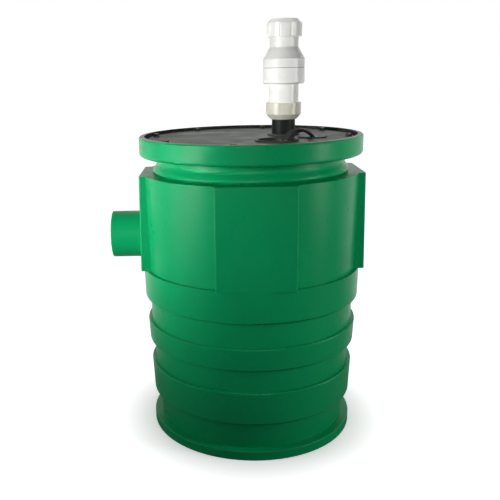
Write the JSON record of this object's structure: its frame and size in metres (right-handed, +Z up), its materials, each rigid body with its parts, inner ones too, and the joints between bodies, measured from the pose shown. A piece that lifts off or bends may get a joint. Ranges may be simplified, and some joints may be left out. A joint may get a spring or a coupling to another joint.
{
  "type": "sewage ejector pump basin",
  "caption": "Round ribbed plastic sump with an inlet stub, bolted cover and submersible sewage pump, whose discharge pipe rises through the cover into a check valve.",
  "frame": {"origin": "centre of the basin's underside, on the floor it stands on", "axes": "+Z up the basin's axis, -X out along the inlet stub, -Y towards the camera side"},
  "size_m": [0.651, 0.572, 1.0615],
  "materials": {
    "green_plastic": "lightly textured, semi-gloss moulding",
    "cover_metal": "dark grey enamel, glossy",
    "rubber": "moulded, satin",
    "brass": "turned",
    "steel": "stainless, satin",
    "pipe_black": "extruded, satin",
    "white_plastic": "moulded, glossy",
    "cast_iron": "cast, painted dark green",
    "lamination": "stacked sheet, varnished",
    "copper": "varnished winding wire",
    "black_plastic": "moulded, satin",
    "cord_black": "extruded jacket, slightly glossy"
  },
  "bodies": {
    "basin_assembly": {"basin": "green_plastic", "inlet_stub": "green_plastic", "cover": "cover_metal", "cover_gasket": "rubber", "cover_inserts": "brass", "cover_washers": "steel", "cover_bolts": "steel", "discharge_seal": "rubber", "vent_seal": "rubber", "cord_seal": "rubber", "discharge_pipe": "pipe_black", "pipe_adapter": "pipe_black", "valve_pack_ring_lower": "rubber", "valve_pack_ring_upper": "rubber", "valve_body_lower": "white_plastic", "valve_body_upper": "white_plastic", "valve_body_seal": "rubber", "valve_seat": "rubber", "flapper_pin": "steel", "pump_base": "cast_iron", "volute": "cast_iron", "pump_base_screws": "steel", "motor_screws": "steel", "cap_screws": "steel", "seal_plate": "cast_iron", "lower_bearing": "steel", "upper_bearing": "steel", "shaft_seal": "rubber", "motor_housing": "cast_iron", "stator_core": "lamination", "stator_windings": "copper", "motor_cap": "cast_iron", "cord_gland": "brass", "pump_handle": "steel", "float_clamp": "steel", "float_clamp_screw": "steel", "float_pivot_pin": "steel", "power_cord_riser": "cord_black", "power_cord": "cord_black", "power_cord_coil": "cord_black", "power_cord_tail": "cord_black", "power_plug": "cord_black", "power_plug_blades": "brass", "power_cord_tie": "black_plastic", "float_cord_riser": "cord_black", "float_cord": "cord_black", "float_cord_coil": "cord_black", "float_cord_tail": "cord_black", "float_plug": "cord_black", "float_plug_blades": "brass", "float_cord_tie": "black_plastic"},
    "rotor": {"pump_shaft": "steel", "rotor_core": "lamination", "impeller": "cast_iron", "impeller_nut": "steel"},
    "flapper": {"valve_flapper": "rubber"},
    "float": {"float_tether": "cord_black", "float_switch": "black_plastic"},
    "lower_nut": {"valve_nut_lower": "white_plastic"},
    "upper_nut": {"valve_nut_upper": "white_plastic"}
  },
  "joints": [
    {"name": "rotor_spin", "type": "hinge", "parent": "basin_assembly", "child": "rotor", "pos_m": [-0.0365, -0.00161, 0.2], "axis": [0, 0, 1], "continuous": true},
    {"name": "flapper_swing", "type": "hinge", "parent": "basin_assembly", "child": "flapper", "pos_m": [0.0507, 0.025, 0.9185], "axis": [0, -1, 0], "range_deg": [0, 65]},
    {"name": "float_swing", "type": "hinge", "parent": "basin_assembly", "child": "float", "pos_m": [0.1117, -0.01484, 0.4], "axis": [-0.866, -0.5, 0], "range_deg": [0, 95]},
    {"name": "lower_nut_turn", "type": "hinge", "parent": "basin_assembly", "child": "lower_nut", "pos_m": [0.0887, 0.025, 0.835], "axis": [0, 0, 1], "continuous": true},
    {"name": "upper_nut_turn", "type": "hinge", "parent": "basin_assembly", "child": "upper_nut", "pos_m": [0.0887, 0.025, 1.04], "axis": [0, 0, 1], "continuous": true}
  ]
}
